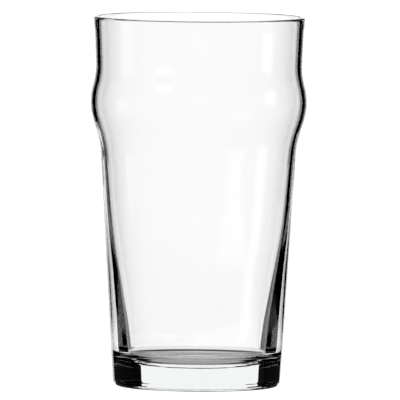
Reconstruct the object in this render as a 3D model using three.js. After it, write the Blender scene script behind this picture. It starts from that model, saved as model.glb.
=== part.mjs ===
// A 20 fl oz nonic pint glass: one piece of clear pressed-and-blown soda-lime glass.
// Millimetres, +Z up. The origin is on the glass's axis, in the plane of the ring that it stands on.

import * as THREE from "three";

// Driving dimensions. A corner is where two sides of the outline would meet if round didn't ease it.
const HEIGHT = 151;
const WALL = 2.05; // even from the lip down to the shoulder

// Outside, from the foot up.
const PUSH_UP = { r: 16, z: 1.2, round: 60 }; // the hollow under the floor
const RING_INNER_R = 26.8; // inner edge of the flat ring that the glass stands on
const HEEL = { r: 34.1, z: 0, round: 2.9 };
const SHOULDER = { r: 40.1, z: 99.3, round: 41 }; // the taper ends and the bulge begins
const BULGE = { r: 45.3, z: 115, round: 26 };
const WAIST = { r: 42.1, z: 128, round: 30 };
const UNDER_LIP = { r: 42.85, z: 146, round: 12 };
const LIP = { r: 43.35, wall: 2.4, round: 1.1 }; // a fire-polished bead, a little thicker than the wall

// Inside, from the floor up.
const FLOOR = { r: 12, z: 8.5, round: 100 }; // level at its middle, then it dishes up
const FLOOR_CORNER = { r: 28, z: 11.4, round: 5 };
const FOOT_WALL = { r: 29.5, z: 24.8, round: 250 }; // the wall is thick to here
const LEAN = { r: 35, z: 61.6, round: 400 }; // above here it thins slowly to its even thickness

const SEGMENTS = 64; // facets round the axis
const CHORD_ERROR = 0.04; // how far a facet may lie from the arc that it stands for

// The two sides that meet at a corner, as unit vectors leading away from it.
function sidesAt(before, corner, after) {
  const at = new THREE.Vector2(corner.r, corner.z);
  return [before, after].map((end) => new THREE.Vector2(end.r, end.z).sub(at).normalize());
}

// The arc that eases a corner, from the side it leaves to the side it joins.
function easedCorner(before, corner, after) {
  const at = new THREE.Vector2(corner.r, corner.z);
  const [back, ahead] = sidesAt(before, corner, after);
  const halfAngle = Math.acos(back.dot(ahead)) / 2;
  const reach = corner.round / Math.tan(halfAngle);
  const middle = back.clone().add(ahead).normalize();
  const centre = at.clone().addScaledVector(middle, corner.round / Math.sin(halfAngle));
  const start = at.clone().addScaledVector(back, reach).sub(centre);
  const end = at.clone().addScaledVector(ahead, reach).sub(centre);
  const sweep = Math.atan2(start.cross(end), start.dot(end));
  const step = 2 * Math.acos(1 - CHORD_ERROR / corner.round);
  const steps = Math.ceil(Math.abs(sweep) / step);
  const origin = new THREE.Vector2();
  return Array.from({ length: steps + 1 }, (_, i) =>
    start.clone().rotateAround(origin, (sweep * i) / steps).add(centre),
  );
}

// The outline through its corners; one without a round, such as an end on the axis, stays sharp.
function outline(corners) {
  return corners.flatMap((corner, i) =>
    corner.round
      ? easedCorner(corners[i - 1], corner, corners[i + 1])
      : [new THREE.Vector2(corner.r, corner.z)],
  );
}

// The corner of the inner face behind an outer corner, one wall away from both of its sides.
function behind(before, corner, after) {
  const [back, ahead] = sidesAt(before, corner, after);
  const turn = Math.sign(ahead.cross(back)); // 1 where the outside is convex, -1 where it is hollow
  const halfAngle = Math.acos(back.dot(ahead)) / 2;
  const inwards = back.add(ahead).normalize().multiplyScalar((turn * WALL) / Math.sin(halfAngle));
  return { r: corner.r + inwards.x, z: corner.z + inwards.y, round: corner.round - turn * WALL };
}

// Half of the glass's section, from the axis under the foot round to the axis on the floor.
function glassOutline() {
  const lip = { ...LIP, z: HEIGHT };
  const insideUnderLip = { ...UNDER_LIP, r: UNDER_LIP.r - WALL };
  return outline([
    { r: 0, z: PUSH_UP.z },
    PUSH_UP,
    { r: RING_INNER_R, z: 0 },
    HEEL,
    SHOULDER,
    BULGE,
    WAIST,
    UNDER_LIP,
    lip,
    { ...lip, r: LIP.r - LIP.wall },
    insideUnderLip,
    behind(BULGE, WAIST, UNDER_LIP),
    behind(SHOULDER, BULGE, WAIST),
    behind(HEEL, SHOULDER, BULGE),
    LEAN,
    FOOT_WALL,
    FLOOR_CORNER,
    FLOOR,
    { r: 0, z: FLOOR.z },
  ]);
}

function makeGlassBody() {
  const geometry = new THREE.LatheGeometry(glassOutline(), SEGMENTS);
  geometry.rotateX(Math.PI / 2);
  const clearGlass = new THREE.MeshStandardMaterial({
    color: 0xe9f0ee,
    roughness: 0.03,
    metalness: 0,
    transparent: true,
    opacity: 0.35,
  });
  const body = new THREE.Mesh(geometry, clearGlass);
  body.name = "glass_body";
  return body;
}

const pintGlass = new THREE.Group();
pintGlass.add(makeGlassBody());

export default pintGlass;
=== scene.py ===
"""A nonic pint glass, stood on a pale table in front of a white sheet between black cards.

Metres, +Z up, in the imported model's frame: the glass stands on z = 0 and its axis is the Z axis.
The white sheet behind it and the dark cards beside that draw its edges, as bright-field lighting does.
"""

import math

import bpy
from mathutils import Matrix, Vector


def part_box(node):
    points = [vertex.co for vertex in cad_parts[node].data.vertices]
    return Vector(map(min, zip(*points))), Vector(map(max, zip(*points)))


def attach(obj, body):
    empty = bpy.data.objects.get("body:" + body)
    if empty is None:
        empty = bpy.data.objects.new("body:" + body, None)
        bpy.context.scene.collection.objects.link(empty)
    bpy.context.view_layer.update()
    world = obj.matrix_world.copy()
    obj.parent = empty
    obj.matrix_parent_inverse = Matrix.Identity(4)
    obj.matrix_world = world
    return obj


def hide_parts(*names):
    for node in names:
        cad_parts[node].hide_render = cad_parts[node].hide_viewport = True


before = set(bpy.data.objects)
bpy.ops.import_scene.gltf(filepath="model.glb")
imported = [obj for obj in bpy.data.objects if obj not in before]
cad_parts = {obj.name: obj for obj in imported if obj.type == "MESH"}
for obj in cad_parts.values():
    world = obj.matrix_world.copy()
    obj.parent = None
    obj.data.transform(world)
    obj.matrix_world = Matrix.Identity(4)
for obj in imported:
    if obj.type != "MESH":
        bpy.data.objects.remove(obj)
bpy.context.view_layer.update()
low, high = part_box("glass_body")
HEIGHT = high.z - low.z
MM = HEIGHT / 151  # a millimetre of the design, which is 151 mm high

# The section of the glass, as part.mjs has it: r from the axis, z up, and the round that eases a corner.
# Only the edge of the ring is rounder here: part.mjs leaves it sharp.
WALL = 2.05 * MM
PUSH_UP = (16 * MM, 1.2 * MM, 60 * MM)
RING_EDGE = (26.8 * MM, 0, 2 * MM)
HEEL = (34.1 * MM, 0, 2.9 * MM)
SHOULDER = (40.1 * MM, 99.3 * MM, 41 * MM)
BULGE = (45.3 * MM, 115 * MM, 26 * MM)
WAIST = (42.1 * MM, 128 * MM, 30 * MM)
UNDER_LIP = (42.85 * MM, 146 * MM, 12 * MM)
LIP = (43.35 * MM, HEIGHT, 1.1 * MM)
LIP_WALL = 2.4 * MM
FLOOR = (12 * MM, 8.5 * MM, 100 * MM)
FLOOR_CORNER = (28 * MM, 11.4 * MM, 5 * MM)
FOOT_WALL = (29.5 * MM, 24.8 * MM, 250 * MM)
LEAN = (35 * MM, 61.6 * MM, 400 * MM)

SEGMENTS = 288  # round the axis
CHORD_ERROR = 0.003 * MM
LONGEST_STEP = 1.5 * MM  # along the section

# The surface of the glass.
WAVE_STEP = 25 * MM  # the size of a wave that the mould left
WAVE_HEIGHT = 0.02 * MM
RING_STEP = 4 * MM  # from one ring on the floor to the next
RING_HEIGHT = 0.01 * MM
RING_WOBBLE = 3.0  # how uneven the rings are
RING_END = (0.8 * FLOOR_CORNER[0], FLOOR_CORNER[0])  # they fade out between these reaches of the axis
WEAR_STEP = 3 * MM  # the size of a patch worn by washing
WEAR = 0.03  # roughness where it is most worn
WORN = (0.4, 0.8)  # the noise at which wear begins, and is full
IOR = 1.52  # of soda-lime glass
TINT = (0.985, 0.99, 0.985, 1)  # where a wave is highest
BODY_COLOUR = (0.86, 0.88, 0.87, 1)  # what light keeps of its colour through the glass
BODY_DENSITY = 17.0

# The camera: a little above the rim, far off, with a long lens.
DISTANCE = 33 * HEIGHT
RISE = 0.0465  # of the camera above the rim, for each metre of distance
AIM_Z = 0.5036 * HEIGHT  # the point of the axis that the camera looks at
PICTURE_SHARE = 0.927  # of the picture's width that the glass's height would take
ROLL = math.radians(0.48)
SHIFT_X = 0.005
VIEW_END = 100  # how far the camera sees

# The studio, measured from the glass's axis. Its upright boards show only in the glass.
# It is arranged for the photo's angle and for views 45,25, 225,15 and 90,3.
# In views 135,25, 180,3 and 270,3 the glass looks dark.
PAPER = 1.15  # brightness of white paper
SIDE_LIGHT = 1.0  # brightness of the sheet at the side
GREY = 0.22  # brightness of the grey card
ROOM = 0.05  # brightness of the unlit room
BOARD_TOP = 2.4 * HEIGHT
BACK_Y = 1.65 * HEIGHT  # a white sheet stands here, between black cards
LEFT_EDGE = -1.0 * HEIGHT  # of the white sheet
RIGHT_EDGE = 0.8 * HEIGHT
STEP_Z = 0.4 * HEIGHT  # above here two more cards make the sheet narrower
LEFT_UPPER_EDGE = -0.72 * HEIGHT
RIGHT_UPPER_EDGE = 0.68 * HEIGHT
CARD_END = 4.6 * HEIGHT  # how far the cards reach to each side
CARD_FOOT = 0.25 * HEIGHT  # under the cards a raised view sees the table
FAR_Y = 4 * HEIGHT  # and a low view sees one more black card
SIDE_X = -10 * HEIGHT  # a sheet far to the left, there to light view 90,3
SIDE_HALF = 2.2 * HEIGHT  # half of its width
SIDE_FADE = 1.2 * HEIGHT  # it fades out over this much at its sides and its top

# The table. Its slopes are 1 minus the sine of a ray's angle to it, so 1 is along the table.
# A pair gives the two ends of a soft change.
TABLE_HALF = 20.0  # half of its width
TABLE_Z = low.z - 0.02 * MM
MIRROR_SLOPE = (0.77, 0.82)  # in front of the glass it mirrors below 13 to 10 degrees
SLOPE_BEHIND = 0.155  # and behind it, where this is added to the slope, below 23 to 20 degrees
SEAM = 5 * MM  # half the width of the change between the two
# Painted shade: the table shows dark under the glass's foot, and its glow is dimmed near the glass.
FOOT = (32 * MM, 34.5 * MM)  # it doesn't mirror within this reach of the axis, under the foot
SHADE = (32 * MM, 50 * MM)  # the reach of the glass's own shade
SHADE_LIGHT = 0.4  # what the shade leaves
# Painted light: where the glass shows it, the table glows pale along a strip and to steep rays, though
# it is no lamp.
STRIP = (70 * MM, 115 * MM)  # x + y at the edge of a pale strip that views 45,25 and 225,15 look along
STRIP_SLOPE = (0.56, 0.64)  # it is pale to rays below 26 to 21 degrees, or 37 to 31 behind the glass
ABOVE_SLOPE = (0.22, 0.36)  # and the whole table to rays steeper than 51 to 40 degrees


# ---- the section and the solid turned from it ----

def sides_at(before, corner, after):
    """The two sides that meet at a corner, as unit vectors leading away from it."""
    at = Vector(corner[:2])
    return [(Vector(end[:2]) - at).normalized() for end in (before, after)]


def eased_corner(before, corner, after):
    """The arc that eases a corner, from the side it leaves to the side it joins."""
    at, radius = Vector(corner[:2]), corner[2]
    back, ahead = sides_at(before, corner, after)
    half_angle = math.acos(back.dot(ahead)) / 2
    reach = radius / math.tan(half_angle)
    centre = at + (back + ahead).normalized() * radius / math.sin(half_angle)
    start = at + back * reach - centre
    end = at + ahead * reach - centre
    sweep = math.atan2(start.x * end.y - start.y * end.x, start.dot(end))
    steps = math.ceil(abs(sweep) / (2 * math.acos(1 - CHORD_ERROR / radius)))
    return [centre + Matrix.Rotation(sweep * i / steps, 2) @ start for i in range(steps + 1)]


def outline(corners):
    """The section's points through its corners. A corner of two numbers, on the axis, stays sharp."""
    points = []
    for i, corner in enumerate(corners):
        if len(corner) == 2:
            points.append(Vector(corner))
        else:
            points += eased_corner(corners[i - 1], corner, corners[i + 1])
    return points


def behind(before, corner, after):
    """The inner corner behind an outer one, a wall's thickness from both of its sides."""
    back, ahead = sides_at(before, corner, after)
    turn = math.copysign(1, ahead.x * back.y - ahead.y * back.x)
    half_angle = math.acos(back.dot(ahead)) / 2
    inwards = (back + ahead).normalized() * turn * WALL / math.sin(half_angle)
    return (corner[0] + inwards.x, corner[1] + inwards.y, corner[2] - turn * WALL)


def glass_section():
    """From the axis under the foot, up the outside, over the lip and down the inside to the axis."""
    inside_lip = (LIP[0] - LIP_WALL, *LIP[1:])
    inside_under_lip = (UNDER_LIP[0] - WALL, *UNDER_LIP[1:])
    return outline([
        (0, PUSH_UP[1]),
        PUSH_UP,
        RING_EDGE,
        HEEL,
        SHOULDER,
        BULGE,
        WAIST,
        UNDER_LIP,
        LIP,
        inside_lip,
        inside_under_lip,
        behind(BULGE, WAIST, UNDER_LIP),
        behind(SHOULDER, BULGE, WAIST),
        behind(HEEL, SHOULDER, BULGE),
        LEAN,
        FOOT_WALL,
        FLOOR_CORNER,
        FLOOR,
        (0, FLOOR[1]),
    ])


def closer(points):
    """The same line with points added, so that no step is longer than LONGEST_STEP."""
    line = [points[0]]
    for point in points[1:]:
        start = line[-1]
        steps = math.ceil((point - start).length / LONGEST_STEP)
        line += [start.lerp(point, i / steps) for i in range(1, steps + 1)]
    return line


def turned(name, section):
    """A closed mesh, the section turned about the Z axis. Its ends lie on the axis."""
    turns = [2 * math.pi * k / SEGMENTS for k in range(SEGMENTS)]
    verts = [(0, 0, section[0].y)]
    for point in section[1:-1]:
        verts += [(point.x * math.cos(t), point.x * math.sin(t), point.y) for t in turns]
    verts.append((0, 0, section[-1].y))
    last, rings = len(verts) - 1, len(section) - 2
    faces = []
    for k in range(SEGMENTS):
        a, b = 1 + k, 1 + (k + 1) % SEGMENTS
        faces.append((0, b, a))
        for ring in range(rings - 1):
            base, above = ring * SEGMENTS, (ring + 1) * SEGMENTS
            faces.append((base + a, base + b, above + b, above + a))
        top = (rings - 1) * SEGMENTS
        faces.append((top + a, top + b, last))
    mesh = bpy.data.meshes.new(name)
    mesh.from_pydata(verts, [], faces)
    mesh.polygons.foreach_set("use_smooth", [True] * len(mesh.polygons))
    mesh.update()
    piece = bpy.data.objects.new(name, mesh)
    bpy.context.scene.collection.objects.link(piece)
    return piece


# ---- materials ----

def new_material(name):
    """A material with no nodes yet, and its node tree."""
    material = bpy.data.materials.new(name)
    material.use_nodes = True
    material.node_tree.nodes.clear()
    return material, material.node_tree


def add(tree, kind, **values):
    """A node of that kind, with the named inputs set."""
    node = tree.nodes.new(kind)
    for name, value in values.items():
        node.inputs[name.replace("_", " ")].default_value = value
    return node


def maths(tree, operation, *sources):
    """The value of that operation on the sources."""
    node = add(tree, "ShaderNodeMath")
    node.operation = operation
    for source, socket in zip(sources, node.inputs):
        tree.links.new(source, socket)
    return node.outputs["Value"]


def length(tree, vector):
    """How long a vector is."""
    node = add(tree, "ShaderNodeVectorMath")
    node.operation = "LENGTH"
    tree.links.new(vector, node.inputs[0])
    return node.outputs["Value"]


def ramp(tree, source, start, end, at_start, at_end):
    """A value that goes smoothly from at_start to at_end as the source goes from start to end."""
    values = {"From_Min": start, "From_Max": end, "To_Min": at_start, "To_Max": at_end}
    node = add(tree, "ShaderNodeMapRange", **values)
    node.interpolation_type = "SMOOTHSTEP"
    tree.links.new(source, node.inputs["Value"])
    return node.outputs["Result"]


def parts_of(tree, vector):
    """The X, Y and Z of a vector."""
    apart = add(tree, "ShaderNodeSeparateXYZ")
    tree.links.new(vector, apart.inputs["Vector"])
    return apart.outputs


def noise(tree, place, size, detail):
    """A soft noise from 0 to 1, its features about that size."""
    node = add(tree, "ShaderNodeTexNoise", Scale=1 / size, Detail=detail)
    tree.links.new(place, node.inputs["Vector"])
    return node.outputs["Fac"]


def floor_rings(tree, place):
    """The faint rings that the plunger leaves on the floor, 0 beyond it."""
    spot = parts_of(tree, place)
    flat = add(tree, "ShaderNodeCombineXYZ")
    tree.links.new(spot["X"], flat.inputs["X"])
    tree.links.new(spot["Y"], flat.inputs["Y"])
    reach = length(tree, flat.outputs["Vector"])
    on_floor = ramp(tree, reach, *RING_END, 1, 0)
    scale = math.tau / 20 / RING_STEP  # at scale 1 the node draws a ring every tau / 20
    rings = add(tree, "ShaderNodeTexWave", Scale=scale, Distortion=RING_WOBBLE, Detail=1.0)
    rings.wave_type = "RINGS"
    rings.rings_direction = "Z"
    tree.links.new(place, rings.inputs["Vector"])
    return maths(tree, "MULTIPLY", rings.outputs["Fac"], on_floor)


def clear_glass():
    """Clear soda-lime glass, a little wavy from the mould and a little worn by washing."""
    material, tree = new_material("clear_glass")
    place = add(tree, "ShaderNodeTexCoord").outputs["Object"]
    waves = noise(tree, place, WAVE_STEP, detail=1)
    wear = noise(tree, place, WEAR_STEP, detail=4)
    wave_height = ramp(tree, waves, 0, 1, 0, WAVE_HEIGHT)
    ring_height = ramp(tree, floor_rings(tree, place), 0, 1, 0, RING_HEIGHT)
    height = maths(tree, "ADD", wave_height, ring_height)
    bump = add(tree, "ShaderNodeBump", Strength=1.0, Distance=1.0)
    tree.links.new(height, bump.inputs["Height"])
    tint = add(tree, "ShaderNodeValToRGB")
    tint.color_ramp.elements[0].color = (1, 1, 1, 1)
    tint.color_ramp.elements[1].color = TINT
    tree.links.new(waves, tint.inputs["Fac"])
    glass = add(tree, "ShaderNodeBsdfPrincipled", IOR=IOR, Transmission_Weight=1.0)
    tree.links.new(tint.outputs["Color"], glass.inputs["Base Color"])
    tree.links.new(ramp(tree, wear, *WORN, 0, WEAR), glass.inputs["Roughness"])
    tree.links.new(bump.outputs["Normal"], glass.inputs["Normal"])
    body = add(tree, "ShaderNodeVolumeAbsorption", Color=BODY_COLOUR, Density=BODY_DENSITY)
    output = add(tree, "ShaderNodeOutputMaterial")
    tree.links.new(glass.outputs["BSDF"], output.inputs["Surface"])
    tree.links.new(body.outputs["Volume"], output.inputs["Volume"])
    return material


def glow(name, strength):
    """A surface that gives plain white light."""
    material, tree = new_material(name)
    light = add(tree, "ShaderNodeEmission", Strength=strength)
    output = add(tree, "ShaderNodeOutputMaterial")
    tree.links.new(light.outputs["Emission"], output.inputs["Surface"])
    return material


def soft_sheet():
    """White paper that fades out at its sides and its top, for rays that have gone through a wall."""
    material, tree = new_material("soft_sheet")
    spot = parts_of(tree, add(tree, "ShaderNodeTexCoord").outputs["Object"])
    aside = maths(tree, "ABSOLUTE", spot["Y"])
    between_sides = ramp(tree, aside, SIDE_HALF - SIDE_FADE, SIDE_HALF, 1, 0)
    below_top = ramp(tree, spot["Z"], BOARD_TOP - SIDE_FADE, BOARD_TOP, 1, 0)
    soft = maths(tree, "MULTIPLY", between_sides, below_top)
    surfaces = add(tree, "ShaderNodeLightPath").outputs["Transmission Depth"]
    through = ramp(tree, surfaces, 1, 2, 0, SIDE_LIGHT)
    light = add(tree, "ShaderNodeEmission")
    tree.links.new(maths(tree, "MULTIPLY", soft, through), light.inputs["Strength"])
    output = add(tree, "ShaderNodeOutputMaterial")
    tree.links.new(light.outputs["Emission"], output.inputs["Surface"])
    return material


def table_light(tree, spot, reach, slope, lowered):
    """The painted light of the table for a ray that has come through the glass: pale along a strip and
    to steep rays, dimmed by painted shade near the glass.
    """
    across = maths(tree, "ADD", spot["X"], spot["Y"])
    on_strip = ramp(tree, maths(tree, "ABSOLUTE", across), *STRIP, 1, 0)
    low_enough = ramp(tree, lowered, *STRIP_SLOPE, 0, 1)
    strip = maths(tree, "MULTIPLY", on_strip, low_enough)
    # Painted light: a glowing strip and a glow to steep rays; the next line paints shade near the glass.
    pale = maths(tree, "MAXIMUM", strip, ramp(tree, slope, *ABOVE_SLOPE, 1, 0))
    lit = maths(tree, "MULTIPLY", pale, ramp(tree, reach, *SHADE, SHADE_LIGHT, 1))
    through = add(tree, "ShaderNodeLightPath").outputs["Is Transmission Ray"]
    return maths(tree, "MULTIPLY", lit, through)


def polished_table_painted_light():
    """A table top that mirrors at a low angle, like polished plastic, except under the glass, where
    painted shade leaves it dark. At steeper angles it glows pale with painted light.
    """
    material, tree = new_material("polished_table_painted_light")
    place = add(tree, "ShaderNodeTexCoord").outputs["Object"]
    spot = parts_of(tree, place)
    reach = length(tree, place)
    slope = add(tree, "ShaderNodeLayerWeight", Blend=0.5).outputs["Facing"]
    behind_it = ramp(tree, spot["Y"], -SEAM, SEAM, 0, SLOPE_BEHIND)
    lowered = maths(tree, "ADD", slope, behind_it)
    pale = add(tree, "ShaderNodeEmission")
    tree.links.new(table_light(tree, spot, reach, slope, lowered), pale.inputs["Strength"])
    mirror = add(tree, "ShaderNodeBsdfAnisotropic", Roughness=0.0)
    # Painted shade: the mirror is black under the foot, so the table shows dark there.
    tree.links.new(ramp(tree, reach, *FOOT, 0, 1), mirror.inputs["Color"])
    mix = add(tree, "ShaderNodeMixShader")
    tree.links.new(ramp(tree, lowered, *MIRROR_SLOPE, 0, 1), mix.inputs["Fac"])
    tree.links.new(pale.outputs["Emission"], mix.inputs[1])
    tree.links.new(mirror.outputs["BSDF"], mix.inputs[2])
    output = add(tree, "ShaderNodeOutputMaterial")
    tree.links.new(mix.outputs["Shader"], output.inputs["Surface"])
    return material


# ---- the studio ----

def board(name, corners, material, seen):
    """A flat board of the studio. One that isn't seen shows only in the glass and on the table."""
    mesh = bpy.data.meshes.new(name)
    mesh.from_pydata(corners, [], [(0, 1, 2, 3)])
    mesh.materials.append(material)
    item = bpy.data.objects.new(name, mesh)
    bpy.context.scene.collection.objects.link(item)
    item.visible_camera = seen
    item.visible_glossy = not seen
    item.visible_transmission = not seen
    item.visible_diffuse = False
    item.visible_shadow = False


def table(name, material, seen):
    """A table top: the one that the camera sees, or the one that shows only in the glass."""
    h, z = TABLE_HALF, TABLE_Z
    board(name, [(-h, -h, z), (h, -h, z), (h, h, z), (-h, h, z)], material, seen)


def upright(name, start, end, bottom, material):
    """A board that stands along the line from start to end."""
    corners = [(*start, bottom), (*end, bottom), (*end, BOARD_TOP), (*start, BOARD_TOP)]
    board(name, corners, material, seen=False)


def light_the_room():
    """The room is dim, but the camera sees plain white paper past the table's edge."""
    world = bpy.data.worlds.new("room")
    world.use_nodes = True
    tree = world.node_tree
    path = add(tree, "ShaderNodeLightPath")
    strength = ramp(tree, path.outputs["Is Camera Ray"], 0, 1, ROOM, PAPER)
    background = tree.nodes["Background"]
    background.inputs["Color"].default_value = (1, 1, 1, 1)
    tree.links.new(strength, background.inputs["Strength"])
    bpy.context.scene.world = world


def set_studio():
    """Two tables in one place, one for the camera and one for the glass, and the upright boards."""
    white, black = glow("white_paper", PAPER), glow("black_card", 0.0)
    table("table_seen", white, seen=True)
    table("table_mirrored", polished_table_painted_light(), seen=False)
    left, right = (LEFT_EDGE, BACK_Y), (RIGHT_EDGE, BACK_Y)
    upright("white_sheet", left, right, TABLE_Z, white)
    upright("left_card", (-CARD_END, BACK_Y), left, CARD_FOOT, black)
    upright("right_card", right, (CARD_END, BACK_Y), CARD_FOOT, black)
    nearer = BACK_Y - MM
    upright("left_upper_card", (LEFT_EDGE, nearer), (LEFT_UPPER_EDGE, nearer), STEP_Z, black)
    grey = glow("grey_card", GREY)
    upright("right_upper_card", (RIGHT_UPPER_EDGE, nearer), (RIGHT_EDGE, nearer), STEP_Z, grey)
    upright("far_card", (-TABLE_HALF, FAR_Y), (TABLE_HALF, FAR_Y), TABLE_Z, black)
    upright("side_sheet", (SIDE_X, -SIDE_HALF), (SIDE_X, SIDE_HALF), TABLE_Z, soft_sheet())
    light_the_room()
    bpy.context.scene.view_settings.view_transform = "Standard"


def set_camera():
    """A camera in front of the glass, at the photograph's angle."""
    data = bpy.data.cameras.new("camera")
    data.lens = data.sensor_width * DISTANCE * PICTURE_SHARE / HEIGHT
    data.shift_x = SHIFT_X
    data.clip_end = VIEW_END
    camera = bpy.data.objects.new("camera", data)
    bpy.context.scene.collection.objects.link(camera)
    eye = Vector((0, -DISTANCE, HEIGHT + RISE * DISTANCE))
    pitch = math.atan2(eye.z - AIM_Z, DISTANCE)
    tilt = Matrix.Rotation(math.pi / 2 - pitch, 4, "X")
    camera.matrix_world = Matrix.Translation(eye) @ tilt @ Matrix.Rotation(ROLL, 4, "Z")
    bpy.context.scene.camera = camera


set_camera()
set_studio()

pint_glass = turned("pint_glass", closer(glass_section()))
pint_glass.data.materials.append(clear_glass())
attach(pint_glass, "root")
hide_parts("glass_body")
